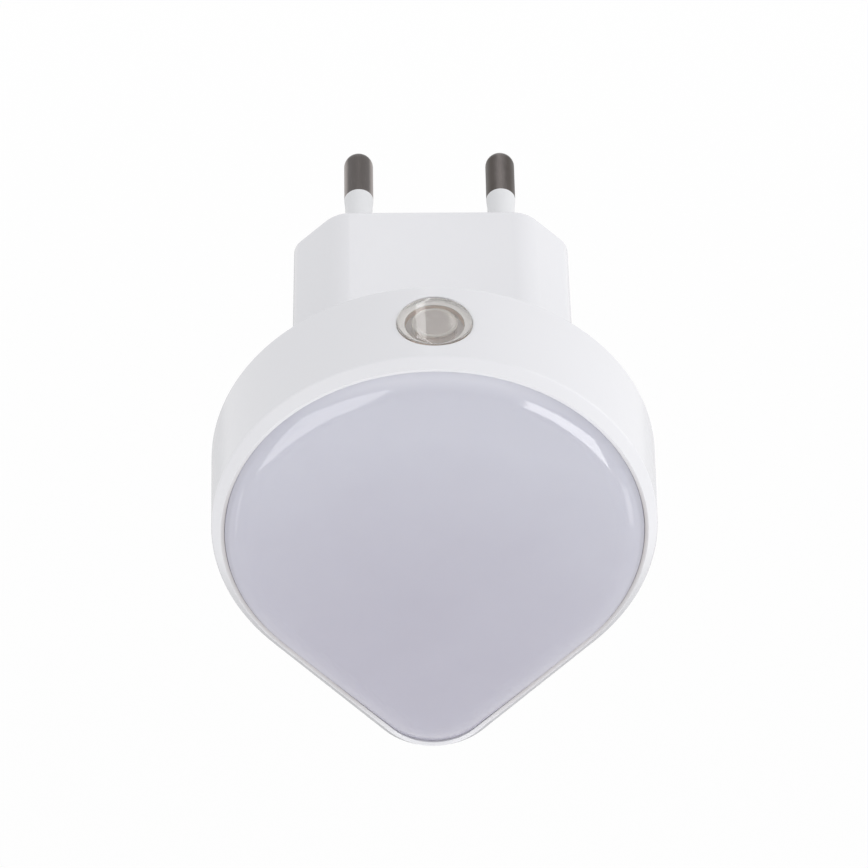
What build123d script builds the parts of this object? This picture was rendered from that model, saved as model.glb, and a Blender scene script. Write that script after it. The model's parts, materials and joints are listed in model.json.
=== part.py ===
"""Plug-in night light with a dusk sensor: a drop-shaped lamp that hangs on a two-pin plug.

Frame, in millimetres: the origin lies between the two pins, on the plug's engagement face. +Y runs along the
pins into the socket, +X is to the right for somebody who looks at the lamp from the room, and +Z is up.
A "depth" is a distance in front of the engagement face, towards the room, so it is measured along -Y.
An "inset" is a distance inwards from an outline.
"""

from build123d import *
from math import asin, cos, degrees, radians, sin, sqrt, tan
import os

# ---- pins ----
pin_spacing = 18.6
pin_diameter = 4.0
pin_length = 19.0
pin_nose_round = 1.8
pin_core_diameter = 3.0
pin_flange_diameter = 5.6
pin_flange_thickness = 1.0
pin_tail_diameter = 2.0
pin_head_diameter = 2.8
pin_head_thickness = 0.5
pin_hole_clearance = 0.05
sleeve_length = 10.3
sleeve_waist_diameter = 3.74
sleeve_collar = 0.3
sleeve_taper_length = 1.5
sleeve_seat_depth = 1.5

# ---- plug body ----
plug_width = 35.5
plug_height = 13.0
plug_length = 28.0
plug_draft_angle = 0.55
plug_wall = 2.0
plug_end_wall = 3.0
plug_edge_round = 2.5
plug_side_round = 1.6
plug_face_round = 0.9
cavity_edge_round = 0.5

# ---- housing, with a drop-shaped outline ----
body_radius = 28.3
tip_radius = 8.8
tip_half_angle = 43.0
body_drop = 12.0
body_depth = 14.9
body_draft_angle = 0.4
body_wall = 2.7
rear_lip = 1.6
front_lip = 1.65
rim_bevel_width = 1.15
rim_bevel_depth = 1.3
rim_edge_round = 0.6
rim_lip_width = 0.45
rim_lip_depth = 0.6

# ---- rear cover ----
cover_thickness = 2.0
cover_gap = 0.15

# ---- screws ----
case_screw_diameter = 2.6
case_screw_length = 7.5
case_head_diameter = 4.6
case_head_height = 1.1
case_boss_radius = 2.7
case_boss_length = 8.0
case_boss_angle = 14.0
boss_blend = 0.3
small_screw_diameter = 2.0
small_screw_length = 3.0
small_head_diameter = 3.6
small_head_height = 1.1
retainer_screw_length = 4.2
screw_clearance = 0.15
screw_end_gap = 0.3
screw_point_diameter = 0.6
head_round = 0.35
drive_width = 0.5
drive_span = 0.6
drive_depth = 0.6

# ---- diffuser ----
diffuser_gap = 0.1
diffuser_wall = 1.5
diffuser_bevel_width = 2.2
diffuser_bevel_depth = 0.8
diffuser_side_round = 1.0
diffuser_face_round = 5.5
diffuser_proud = 0.7
diffuser_crown = 0.95
skirt_depth = 2.8
hook_height = 0.5
hook_width = 7.0
hook_thickness = 0.9
hook_setback = 0.8
hook_play = 0.1
hook_angles = (-22.0, 48.0, 132.0, 202.0)

# ---- dusk sensor ----
window_diameter = 9.5
window_flange = 1.1
window_proud = 0.1
window_edge_round = 0.3
window_barrel_diameter = 7.4
window_barrel_length = 3.2
window_recess_diameter = 5.7
window_roof = 0.6
window_gap = 0.1
sensor_diameter = 5.3
sensor_height = 5.0
sensor_edge_round = 0.2
sensor_roof_gap = 0.1
sensor_lead_diameter = 0.45
sensor_lead_pitch = 2.54
sensor_lead_edge = 1.6
boot_wall = 0.6
boot_height = 3.6
boot_gap = 0.05
boot_end_gap = 0.15

# ---- lamp board ----
board_thickness = 1.0
board_gap = 0.4
standoff_height = 0.8
standoff_radius = 2.3
lamp_screw_angle = 57.0
lamp_screw_edge = 3.0
lamp_screw_tip_edge = 6.0
led_width = 2.8
led_length = 3.5
led_height = 0.7
led_pool_diameter = 2.2
led_pool_depth = 0.15
led_edge = 9.7
led_count = 6
chip_length = 4.9
chip_width = 3.9
chip_height = 1.4
chip_stand = 0.15
chip_bevel = 0.25
chip_leg_pitch = 1.27
chip_leg_width = 0.4
chip_leg_reach = 1.0
chip_leg_thickness = 0.2
chip_legs_per_side = 4

# ---- pin retainer and contact strips ----
retainer_thickness = 1.5
retainer_gap = 0.2
strip_width = 4.0
strip_thickness = 0.4
strip_rise = 2.4
strip_foot = 4.5

# ---- driver board and what it carries ----
driver_width = 23.0
driver_thickness = 1.0
driver_drop = 2.0
driver_gap = 0.3
rail_width = 1.2
rail_edge = 1.8
lead_diameter = 0.6
lead_hole_clearance = 0.05
lead_stub = 0.8
dropper_width = 11.0
dropper_length = 12.5
dropper_height = 5.0
dropper_x = -4.5
dropper_depth = 19.0
dropper_lead_pitch = 10.0
smoother_diameter = 5.0
smoother_length = 8.0
smoother_x = 5.8
smoother_depth = 16.0
smoother_lead_pitch = 2.0
smoother_lead_bend = 1.2
fuse_diameter = 2.6
fuse_length = 6.5
fuse_depth = 9.6
fuse_lead_bend = 1.2
fuse_lift = 0.3
rectifier_width = 4.6
rectifier_length = 3.8
rectifier_height = 2.2
rectifier_x = 5.8
rectifier_depth = 23.2
chip_part_length = 3.2
chip_part_width = 1.6
chip_part_height = 0.6
chip_part_pitch = 4.0
chip_part_depth = 14.0
zener_diameter = 1.25
zener_length = 3.4
zener_depth = 20.0
link_pin_width = 0.64
link_pin_pitch = 2.54
link_pin_count = 4
link_block_height = 2.5
link_block_length = 2.5
link_reach = 1.5
link_hole_clearance = 0.1

# ---- worked out from the sizes above ----
body_back = plug_length
body_front = body_back + body_depth
centre_z = -body_drop
body_top = centre_z + body_radius
tip_z = centre_z - (body_radius - tip_radius) / sin(radians(tip_half_angle))
middle_z = (body_top + tip_z - tip_radius) / 2
cover_front = body_back + cover_thickness
board_back = cover_front + standoff_height
board_front = board_back + board_thickness
board_radius = body_radius - body_wall - board_gap
diffuser_seat = body_front - skirt_depth
diffuser_inset = front_lip + diffuser_gap
diffuser_front = body_front + diffuser_proud
sensor_depth = body_back + (body_depth - rim_bevel_depth) / 2
window_top = body_top + window_proud
window_seat_z = window_top - window_flange
barrel_foot_z = window_seat_z - window_barrel_length
recess_roof_z = window_top - window_roof
sensor_top_z = recess_roof_z - sensor_roof_gap
sensor_foot_z = sensor_top_z - sensor_height
boot_top_z = barrel_foot_z - boot_end_gap
boot_bore = sensor_diameter / 2 + boot_gap
notch_foot_z = boot_top_z - boot_height - board_gap
sensor_elbow_z = notch_foot_z - sensor_lead_edge
flange_front = plug_end_wall + pin_flange_thickness
retainer_front = flange_front + retainer_thickness
strip_front = retainer_front + strip_thickness
driver_back = retainer_front + driver_gap
driver_front = board_back - driver_gap
driver_top_z = -driver_drop
driver_foot_z = driver_top_z - driver_thickness
cavity_floor_z = plug_wall - plug_height / 2
lead_end_z = driver_foot_z - lead_stub
link_z = driver_top_z + link_block_height / 2


# ---- drawing aids ----
def facing(depth):
    """The plane across the pins at a depth: local x is +X, local y is +Z, its normal points into the room."""
    return Plane(origin=(0, -depth, 0), x_dir=(1, 0, 0), z_dir=(0, -1, 0))


def slab(shape, depth, thickness, taper=0.0):
    """A flat shape, drawn in x and z, extruded from a depth towards the room."""
    return extrude(facing(depth) * shape, thickness, dir=(0, -1, 0), taper=taper)


def rod(diameter, depth, length, x=0.0, z=0.0):
    """A round bar along the pins' direction."""
    return slab(Pos(x, z) * Circle(diameter / 2), depth, length)


def post(diameter, low, high, depth, x=0.0):
    """A round bar along Z, between two heights."""
    return Pos(x, -depth, (low + high) / 2) * Cylinder(diameter / 2, high - low)


def block(x, width, depth, length, low, high):
    """A box: centred at x, from a depth towards the room, between two heights."""
    return Pos(x, -depth - length / 2, (low + high) / 2) * Box(width, length, high - low)


def frontmost(solid):
    """The face of a solid that lies nearest the room."""
    return solid.faces().sort_by(Axis.Y)[0]


def drop_outline(inset):
    """The drop: a large arc and a small one at the tip, joined by their common tangents."""
    crown = CenterArc((0, centre_z), body_radius - inset, -tip_half_angle, 180 + 2 * tip_half_angle)
    tip = CenterArc((0, tip_z), tip_radius - inset, 180 + tip_half_angle, 180 - 2 * tip_half_angle)
    return make_face([crown, Line(crown @ 1, tip @ 0), tip, Line(tip @ 1, crown @ 0)])


def plug_outline(inset):
    """The plug's flattened hexagon: level top and bottom, sides at 45 degrees that meet beside the pins."""
    half_height = plug_height / 2 - inset
    half_width = plug_width / 2 + plug_side_round * (sqrt(2) - 1) - inset * sqrt(2)
    shoulder = half_width - half_height
    upper = [(half_width, 0), (shoulder, half_height), (-shoulder, half_height)]
    shape = Polygon(*upper, *[(-x, -z) for x, z in upper], align=None)
    rows = shape.vertices().group_by(Axis.Y)
    shape = fillet(rows[0] + rows[-1], max(plug_edge_round - inset, cavity_edge_round))
    rows = shape.vertices().group_by(Axis.Y)
    return fillet(rows[len(rows) // 2], max(plug_side_round - inset, cavity_edge_round))


def case_screw_places():
    """Centres, in x and z, of the three case screws: one at each side and one in the tip."""
    side_reach = body_radius - body_wall - case_boss_radius + boss_blend
    tip_reach = tip_radius - body_wall - case_boss_radius + boss_blend
    x = side_reach * cos(radians(case_boss_angle))
    z = centre_z + side_reach * sin(radians(case_boss_angle))
    return [(-x, z), (x, z), (0, tip_z - tip_reach)]


def lamp_screw_places():
    """Centres, in x and z, of the screws that hold the lamp board to the rear cover."""
    reach = board_radius - lamp_screw_edge
    x = reach * cos(radians(lamp_screw_angle))
    z = centre_z + reach * sin(radians(lamp_screw_angle))
    return [(-x, z), (x, z), (0, tip_z + lamp_screw_tip_edge)]


def screw(diameter, length, head_diameter, head_height):
    """A pan-head screw: its seat at zero, its point towards +Z, and a cross recess in its head."""
    point = diameter / 2
    shank = Pos(0, 0, (length - point) / 2) * Cylinder(diameter / 2, length - point)
    cone = Pos(0, 0, length - point / 2) * Cone(diameter / 2, screw_point_diameter / 2, point)
    head = Pos(0, 0, -head_height / 2) * Cylinder(head_diameter / 2, head_height)
    head = fillet(head.edges().sort_by(Axis.Z)[0], head_round)
    span = head_diameter * drive_span
    slot = Pos(0, 0, drive_depth / 2 - head_height) * Box(span, drive_width, drive_depth)
    return shank + cone + head - slot - Rot(Z=90) * slot


def snap_arcs(depth, thickness, outer_inset, inner_inset, width):
    """Short arcs along the drop's large curve, one at each snap hook."""
    outer = body_radius - outer_inset
    inner = body_radius - inner_inset
    band = Circle(outer) - Circle(inner)
    arcs = []
    for angle in hook_angles:
        span = Rot(Z=angle) * Pos((outer + inner) / 2, 0) * Rectangle(2 * (outer - inner), width)
        arcs.append(slab(Pos(0, centre_z) * (band & span), depth, thickness))
    return arcs


# ---- plug ----
def make_pin(side):
    """Brass pin: bare round nose, thinner core in the sleeve, flange inside the end wall, riveted tail."""
    x = side * pin_spacing / 2
    nose = rod(pin_diameter, -pin_length, pin_length - sleeve_length, x)
    nose = fillet(nose.edges().sort_by(Axis.Y)[-1], pin_nose_round)
    core = rod(pin_core_diameter, -sleeve_length, sleeve_length + plug_end_wall, x)
    flange = rod(pin_flange_diameter, plug_end_wall, pin_flange_thickness, x)
    tail = rod(pin_tail_diameter, flange_front, strip_front - flange_front, x)
    head = rod(pin_head_diameter, strip_front, pin_head_thickness, x)
    head = fillet(frontmost(head).edges(), pin_head_thickness / 2)
    return nose + core + flange + tail + head


def make_sleeve(side):
    """Insulating sleeve: a collar flush with the bare metal, and a waist seated in the end wall."""
    x = side * pin_spacing / 2
    collar_radius = pin_diameter / 2
    waist_radius = sleeve_waist_diameter / 2
    bore_radius = pin_core_diameter / 2
    taper_start = sleeve_length - sleeve_collar
    profile = Polyline(
        (bore_radius, -sleeve_seat_depth),
        (waist_radius, -sleeve_seat_depth),
        (waist_radius, taper_start - sleeve_taper_length),
        (collar_radius, taper_start),
        (collar_radius, sleeve_length),
        (bore_radius, sleeve_length),
        close=True,
    )
    return Pos(x, 0, 0) * revolve(make_face(profile), Axis.Y)


def make_rear_cover():
    """Rear cover in one moulding: drop-shaped plate, hollow plug body, seats for pins and screws, rails."""
    plate = slab(drop_outline(rear_lip + cover_gap), body_back, cover_thickness)
    body = slab(plug_outline(0), 0, cover_front, taper=-plug_draft_angle)
    body = fillet(body.faces().sort_by(Axis.Y)[-1].edges(), plug_face_round)
    cover = plate + body - slab(plug_outline(plug_wall), plug_end_wall, cover_front)
    for x, z in lamp_screw_places():
        cover += rod(2 * standoff_radius, cover_front, standoff_height, x, z)
        pilot_length = small_screw_length - board_thickness + screw_end_gap
        cover -= rod(small_screw_diameter, board_back - pilot_length, pilot_length, x, z)
    for x, z in case_screw_places():
        cover -= rod(case_screw_diameter + 2 * screw_clearance, body_back, cover_thickness, x, z)
        cover -= rod(case_head_diameter + 2 * screw_clearance, body_back, case_head_height, x, z)
    cover += rod(2 * standoff_radius, plug_end_wall, pin_flange_thickness)
    pilot_length = retainer_screw_length - retainer_thickness + screw_end_gap
    cover -= rod(small_screw_diameter, flange_front - pilot_length, pilot_length)
    for side in (-1, 1):
        x = side * pin_spacing / 2
        cover -= rod(pin_core_diameter + 2 * pin_hole_clearance, 0, plug_end_wall, x)
        cover -= rod(sleeve_waist_diameter + 2 * pin_hole_clearance, 0, sleeve_seat_depth, x)
        rail_x = side * (driver_width / 2 - rail_edge - rail_width / 2)
        cover += block(rail_x, rail_width, retainer_front, driver_front - retainer_front,
                       cavity_floor_z, driver_foot_z)
    return cover


# ---- housing ----
def make_housing_ring():
    """Wall and bevelled rim, with a rebate for the cover, a diffuser seat, bosses and the sensor's hole."""
    draft_growth = body_depth * tan(radians(body_draft_angle))
    ring = slab(drop_outline(-draft_growth), body_back, body_depth, taper=body_draft_angle)
    front = frontmost(ring)
    ring = chamfer(front.edges(), rim_bevel_width, rim_bevel_depth, reference=front)
    crest, seams, bevel_foot = ring.edges().group_by(Axis.Y)[:3]
    ring = fillet(bevel_foot, rim_edge_round)
    ring -= slab(drop_outline(front_lip), diffuser_seat, skirt_depth)
    front = frontmost(ring)
    ring = chamfer(front.inner_wires()[0].edges(), rim_lip_width, rim_lip_depth, reference=front)
    ring -= slab(drop_outline(rear_lip), body_back, cover_thickness)
    ring -= slab(drop_outline(body_wall), cover_front, diffuser_seat - cover_front)
    for x, z in case_screw_places():
        ring += rod(2 * case_boss_radius, cover_front, case_boss_length, x, z)
        pilot_length = case_screw_length - cover_thickness + case_head_height + screw_end_gap
        ring -= rod(case_screw_diameter, cover_front, pilot_length, x, z)
    for slot in snap_arcs(diffuser_seat + hook_setback - hook_play, hook_thickness + 2 * hook_play,
                          front_lip - hook_height, diffuser_inset, hook_width + 2 * hook_play):
        ring -= slot
    above = body_top + window_flange
    ring -= post(window_barrel_diameter + 2 * window_gap, barrel_foot_z, above, sensor_depth)
    ring -= post(window_diameter + 2 * window_gap, window_seat_z, above, sensor_depth)
    return ring


def make_case_screws():
    """Three screws from the rear, with their heads sunk in the cover."""
    one = screw(case_screw_diameter, case_screw_length, case_head_diameter, case_head_height)
    return [facing(body_back + case_head_height) * Pos(x, z, 0) * one for x, z in case_screw_places()]


# ---- diffuser ----
def domed_block(inset, front):
    """The drop from the diffuser's seat to a shallow dome, which ends at a given depth at top and tip."""
    half_length = body_top - middle_z
    ball_radius = ((half_length - inset) ** 2 + diffuser_crown ** 2) / (2 * diffuser_crown)
    apex = front + diffuser_crown
    sweep = degrees(asin(half_length / ball_radius))
    arc = CenterArc((0, ball_radius - apex), ball_radius, -90, sweep)
    foot = Polyline(arc @ 1, (half_length, -diffuser_seat), (0, -diffuser_seat), arc @ 0)
    dome = Pos(0, 0, middle_z) * revolve(make_face([arc, foot]), Axis.Y)
    return dome & slab(drop_outline(inset), diffuser_seat, apex - diffuser_seat)


def make_diffuser():
    """Opal cap: a domed face that rolls off to its edge, and a skirt with four snap hooks on its seat."""
    cap = domed_block(diffuser_inset, diffuser_front)
    face = frontmost(cap)
    cap = chamfer(face.edges(), diffuser_bevel_width, diffuser_bevel_depth, reference=face)
    cap = fillet(frontmost(cap).outer_wire().edges(), diffuser_face_round)
    sides = cap.faces().filter_by(lambda side: round(side.normal_at().Y, 3) == 0)
    cap = fillet([side.edges().sort_by(Axis.Y)[0] for side in sides], diffuser_side_round)
    cap -= domed_block(diffuser_inset + diffuser_wall, diffuser_front - diffuser_wall)
    for hook in snap_arcs(diffuser_seat + hook_setback, hook_thickness, front_lip - hook_height + hook_play,
                          diffuser_inset + diffuser_wall / 2, hook_width):
        cap += hook
    return cap


# ---- dusk sensor ----
def make_sensor_window():
    """Clear window: a round flange in the wall's counterbore, and a cupped barrel over the sensor."""
    flange = post(window_diameter, window_seat_z, window_top, sensor_depth)
    flange = fillet(flange.edges().sort_by(Axis.Z)[-1], window_edge_round)
    barrel = post(window_barrel_diameter, barrel_foot_z, window_seat_z, sensor_depth)
    return flange + barrel - post(window_recess_diameter, barrel_foot_z, recess_roof_z, sensor_depth)


def make_light_sensor():
    """Flat-topped phototransistor that looks up through the window, its two leads bent back to the board."""
    body = post(sensor_diameter, sensor_foot_z, sensor_top_z, sensor_depth)
    body = fillet(body.edges().sort_by(Axis.Z)[-1], sensor_edge_round)
    for side in (-1, 1):
        x = side * sensor_lead_pitch / 2
        body += post(sensor_lead_diameter, sensor_elbow_z, sensor_foot_z, sensor_depth, x)
        body += Pos(x, -sensor_depth, sensor_elbow_z) * Sphere(sensor_lead_diameter / 2)
        body += rod(sensor_lead_diameter, board_back, sensor_depth - board_back, x, sensor_elbow_z)
    return body


def make_sensor_boot():
    """Dark tube round the sensor, which keeps the lamp's own light off it."""
    foot = boot_top_z - boot_height
    outside = post(2 * (boot_bore + boot_wall), foot, boot_top_z, sensor_depth)
    return outside - post(2 * boot_bore, foot, boot_top_z, sensor_depth)


# ---- lamp board ----
def link_places():
    """Where the link pins stand, along X."""
    return [(n - (link_pin_count - 1) / 2) * link_pin_pitch for n in range(link_pin_count)]


def make_lamp_board():
    """Drop-shaped board, cut back round bosses and boot, with holes for screws, leads and link pins."""
    shape = drop_outline(body_wall + board_gap)
    for x, z in case_screw_places():
        shape -= Pos(x, z) * Circle(case_boss_radius + board_gap)
    notch_width = 2 * (boot_bore + boot_wall + board_gap)
    notch_height = body_top - notch_foot_z
    shape -= Pos(0, notch_foot_z + notch_height / 2) * Rectangle(notch_width, notch_height)
    for x, z in lamp_screw_places():
        shape -= Pos(x, z) * Circle(small_screw_diameter / 2 + screw_clearance)
    for side in (-1, 1):
        x = side * sensor_lead_pitch / 2
        shape -= Pos(x, sensor_elbow_z) * Circle(sensor_lead_diameter / 2 + lead_hole_clearance)
    hole_width = link_pin_width + 2 * link_hole_clearance
    for x in link_places():
        shape -= Pos(x, link_z) * Rectangle(hole_width, hole_width)
    return slab(shape, board_back, board_thickness)


def make_lamp_screws():
    """Three small screws through the lamp board into the cover's standoffs."""
    one = screw(small_screw_diameter, small_screw_length, small_head_diameter, small_head_height)
    inwards = Plane(origin=(0, -board_front, 0), x_dir=(-1, 0, 0), z_dir=(0, 1, 0))
    return [inwards * Pos(-x, z, 0) * one for x, z in lamp_screw_places()]


def make_leds():
    """Ring of surface-mount lamps, each with its phosphor pool a little below the case's edge."""
    ring_radius = board_radius - led_edge
    pool_back = board_front + led_height - led_pool_depth
    leds = []
    for n in range(led_count):
        angle = radians(360 / led_count * (n + 0.5))
        x = ring_radius * cos(angle)
        z = centre_z + ring_radius * sin(angle)
        case = slab(Pos(x, z) * Rectangle(led_width, led_length), board_front, led_height)
        leds.append(case - rod(led_pool_diameter, pool_back, led_pool_depth, x, z))
    return leds


def make_control_chip():
    """Control chip with gull-wing legs, on the front of the lamp board."""
    bottom = board_front + chip_stand
    body = slab(Pos(0, centre_z) * Rectangle(chip_length, chip_width), bottom, chip_height)
    body = chamfer(frontmost(body).edges(), chip_bevel)
    half_reach = chip_leg_reach / 2
    half_leg = Rectangle(chip_leg_width, half_reach)
    for n in range(chip_legs_per_side):
        x = (n - (chip_legs_per_side - 1) / 2) * chip_leg_pitch
        for side in (-1, 1):
            knee_z = centre_z + side * (chip_width + half_reach) / 2
            body += slab(Pos(x, knee_z) * half_leg, board_front, chip_height / 2)
            body += slab(Pos(x, knee_z + side * half_reach) * half_leg, board_front, chip_leg_thickness)
    return body


# ---- pin retainer and contact strips ----
def make_pin_retainer():
    """Plate in the plug's own outline that holds both pin flanges against the end wall."""
    shape = plug_outline(plug_wall + retainer_gap) - Circle(small_screw_diameter / 2 + screw_clearance)
    for side in (-1, 1):
        shape -= Pos(side * pin_spacing / 2, 0) * Circle(pin_tail_diameter / 2 + pin_hole_clearance)
    return slab(shape, flange_front, retainer_thickness)


def make_retainer_screw():
    """The one screw that holds the retainer to the end wall."""
    one = screw(small_screw_diameter, retainer_screw_length, small_head_diameter, small_head_height)
    return Plane(origin=(0, -retainer_front, 0), x_dir=(-1, 0, 0), z_dir=(0, 1, 0)) * one


def make_contact_strip(side):
    """Bent strip from the pin's riveted tail to the driver board."""
    x = side * pin_spacing / 2
    upright = block(x, strip_width, retainer_front, strip_thickness, driver_top_z, strip_rise)
    foot = block(x, strip_width, retainer_front, strip_foot, driver_top_z, driver_top_z + strip_thickness)
    hole = rod(pin_tail_diameter + 2 * pin_hole_clearance, retainer_front, strip_thickness, x)
    return upright + foot - hole


# ---- driver board and what it carries ----
def dropper_leads():
    """Places, as x and depth, where the dropper capacitor's leads pass the driver board."""
    return [(dropper_x, dropper_depth + side * dropper_lead_pitch / 2) for side in (-1, 1)]


def smoother_leads():
    """Places where the smoothing capacitor's leads pass the driver board."""
    depth = smoother_depth - smoother_length / 2 - smoother_lead_bend
    return [(smoother_x + side * smoother_lead_pitch / 2, depth) for side in (-1, 1)]


def fuse_leads():
    """Places where the fusible resistor's leads pass the driver board."""
    return [(side * (fuse_length / 2 + fuse_lead_bend), fuse_depth) for side in (-1, 1)]


def make_driver_board():
    """Board on the rails inside the plug body, with holes for the leads of the larger parts."""
    board = block(0, driver_width, driver_back, driver_front - driver_back, driver_foot_z, driver_top_z)
    for x, depth in dropper_leads() + smoother_leads() + fuse_leads():
        board -= post(lead_diameter + 2 * lead_hole_clearance, driver_foot_z, driver_top_z, depth, x)
    return board


def make_dropper_capacitor():
    """Boxed film capacitor that drops the mains voltage, standing on the driver board."""
    back = dropper_depth - dropper_length / 2
    box = block(dropper_x, dropper_width, back, dropper_length, driver_top_z, driver_top_z + dropper_height)
    box = fillet(box.edges().filter_by(Axis.Z), cavity_edge_round)
    for x, depth in dropper_leads():
        box += post(lead_diameter, lead_end_z, driver_top_z, depth, x)
    return box


def make_smoothing_capacitor():
    """Electrolytic capacitor that lies on the driver board, with its two leads bent down."""
    axis_z = driver_top_z + smoother_diameter / 2
    back = smoother_depth - smoother_length / 2
    can = rod(smoother_diameter, back, smoother_length, smoother_x, axis_z)
    can = fillet(frontmost(can).edges(), cavity_edge_round)
    for x, depth in smoother_leads():
        can += rod(lead_diameter, depth, back - depth, x, axis_z)
        can += Pos(x, -depth, axis_z) * Sphere(lead_diameter / 2)
        can += post(lead_diameter, lead_end_z, axis_z, depth, x)
    return can


def make_fuse_resistor():
    """Axial fusible resistor across the board, just inside the contact strips."""
    axis_z = driver_top_z + fuse_lift + fuse_diameter / 2
    lying = Pos(0, -fuse_depth, axis_z) * Rot(Y=90)
    body = lying * Cylinder(fuse_diameter / 2, fuse_length)
    body = fillet(body.edges().filter_by(GeomType.CIRCLE), cavity_edge_round)
    body += lying * Cylinder(lead_diameter / 2, fuse_length + 2 * fuse_lead_bend)
    for x, depth in fuse_leads():
        body += Pos(x, -depth, axis_z) * Sphere(lead_diameter / 2)
        body += post(lead_diameter, lead_end_z, axis_z, depth, x)
    return body


def make_bridge_rectifier():
    """Small moulded bridge rectifier on top of the driver board."""
    back = rectifier_depth - rectifier_length / 2
    body = block(rectifier_x, rectifier_width, back, rectifier_length, driver_top_z,
                 driver_top_z + rectifier_height)
    return chamfer(body.faces().sort_by(Axis.Z)[-1].edges(), chip_bevel)


def make_chip_resistors():
    """Two chip resistors under the driver board, which discharge the dropper capacitor."""
    back = chip_part_depth - chip_part_length / 2
    return [block(side * chip_part_pitch / 2, chip_part_width, back, chip_part_length,
                  driver_foot_z - chip_part_height, driver_foot_z) for side in (-1, 1)]


def make_zener_diode():
    """Cylindrical zener diode under the driver board, which limits the lamp voltage."""
    lying = Pos(0, -zener_depth, driver_foot_z - zener_diameter / 2) * Rot(Y=90)
    return lying * Cylinder(zener_diameter / 2, zener_length)


def make_link_header():
    """Angled header whose pins carry the lamp board's supply through it."""
    back = driver_front - link_block_length
    header = block(0, link_pin_pitch * link_pin_count, back, link_block_length, driver_top_z,
                   driver_top_z + link_block_height)
    for x in link_places():
        header += block(x, link_pin_width, driver_front, board_front + link_reach - driver_front,
                        link_z - link_pin_width / 2, link_z + link_pin_width / 2)
    return header


nodes = {
    "pin_left": [make_pin(-1)],
    "pin_right": [make_pin(1)],
    "pin_sleeve_left": [make_sleeve(-1)],
    "pin_sleeve_right": [make_sleeve(1)],
    "rear_cover": [make_rear_cover()],
    "housing_ring": [make_housing_ring()],
    "case_screws": make_case_screws(),
    "diffuser": [make_diffuser()],
    "sensor_window": [make_sensor_window()],
    "light_sensor": [make_light_sensor()],
    "sensor_boot": [make_sensor_boot()],
    "lamp_board": [make_lamp_board()],
    "lamp_board_screws": make_lamp_screws(),
    "leds": make_leds(),
    "control_chip": [make_control_chip()],
    "pin_retainer": [make_pin_retainer()],
    "retainer_screw": [make_retainer_screw()],
    "contact_strip_left": [make_contact_strip(-1)],
    "contact_strip_right": [make_contact_strip(1)],
    "driver_board": [make_driver_board()],
    "dropper_capacitor": [make_dropper_capacitor()],
    "smoothing_capacitor": [make_smoothing_capacitor()],
    "fuse_resistor": [make_fuse_resistor()],
    "bridge_rectifier": [make_bridge_rectifier()],
    "chip_resistors": make_chip_resistors(),
    "zener_diode": [make_zener_diode()],
    "link_header": [make_link_header()],
}

os.makedirs("parts", exist_ok=True)
for name, solids in nodes.items():
    export_step(Compound(children=solids), f"parts/{name}.step")
    print(name, "solids", len(solids))
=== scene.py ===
# %% [markdown]
# # A plug-in night light, dressed for the camera
#
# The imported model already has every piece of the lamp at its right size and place. This lesson loads it as
# a fixed frame, rebuilds the pieces that the eye meets as fine meshes, and gives each piece a material made
# from nodes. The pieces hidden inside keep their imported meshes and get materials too, because the lamp may
# be opened.

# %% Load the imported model
import json
from math import cos, pi, radians, sin, sqrt, tan

import bmesh
import bpy
from mathutils import Matrix, Vector


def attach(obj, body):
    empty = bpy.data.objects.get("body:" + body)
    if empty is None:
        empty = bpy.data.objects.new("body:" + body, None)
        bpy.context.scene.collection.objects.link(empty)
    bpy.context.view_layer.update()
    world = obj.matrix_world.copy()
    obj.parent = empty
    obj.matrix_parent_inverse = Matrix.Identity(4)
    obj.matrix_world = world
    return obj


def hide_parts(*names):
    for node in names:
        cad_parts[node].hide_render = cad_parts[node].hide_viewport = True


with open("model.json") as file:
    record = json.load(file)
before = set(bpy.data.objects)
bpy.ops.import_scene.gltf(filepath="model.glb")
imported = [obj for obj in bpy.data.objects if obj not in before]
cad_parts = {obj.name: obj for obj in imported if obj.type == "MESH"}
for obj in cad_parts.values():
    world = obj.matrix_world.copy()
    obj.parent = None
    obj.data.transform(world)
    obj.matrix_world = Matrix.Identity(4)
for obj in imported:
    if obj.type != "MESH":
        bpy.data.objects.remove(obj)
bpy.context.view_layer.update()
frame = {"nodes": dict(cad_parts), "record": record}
nodes = frame["nodes"]
print("nodes in the frame:", len(nodes))

# %% [markdown]
# ## Units and directions
#
# Blender works in metres here, and the lamp is easier to think of in millimetres, so each size is written
# as a number times mm. The pins point along +Y, +Z is up, and a depth is a distance in front of the plug's
# end face, towards the room, so it runs along -Y.

# %% Units and directions
mm = 0.001


def at(x, depth, z):
    """A point from its place across, its depth and its height."""
    return Vector((x, -depth, z))


print("a point 10 mm in front of the end face:", list(at(0, 10 * mm, 0)))

# %% [markdown]
# ## The lamp's main sizes
#
# The drop is a large arc and a small one, joined by two straight flanks at 43 degrees. Its depth runs from
# the end of the plug body to the rim. The pins stand 18.6 mm apart, as on every plug of this kind. The
# finishes use these sizes as well as the pieces, so they stand before both.

# %% The lamp's main sizes
body_radius = 28.3 * mm
tip_radius = 8.8 * mm
tip_half_angle = radians(43)
centre_z = -12 * mm
body_back = 28 * mm
body_depth = 14.9 * mm
body_front = body_back + body_depth
tip_z = centre_z - (body_radius - tip_radius) / sin(tip_half_angle)
body_top = centre_z + body_radius
middle_z = (body_top + tip_z - tip_radius) / 2
pin_spacing = 18.6 * mm
pin_length = 19.0 * mm
print("lamp from the top to the tip:", round((body_top - tip_z + tip_radius) / mm, 2), "mm")

# %% [markdown]
# ## The camera
#
# A long lens far away gives the calm, nearly parallel look of a product picture. The camera looks down on
# the lamp by 40 degrees, so the dusk sensor on top and the opal front are both in view. Its axes are worked
# out from two angles and a roll, which is easier to adjust than a rotation in Euler angles.

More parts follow.
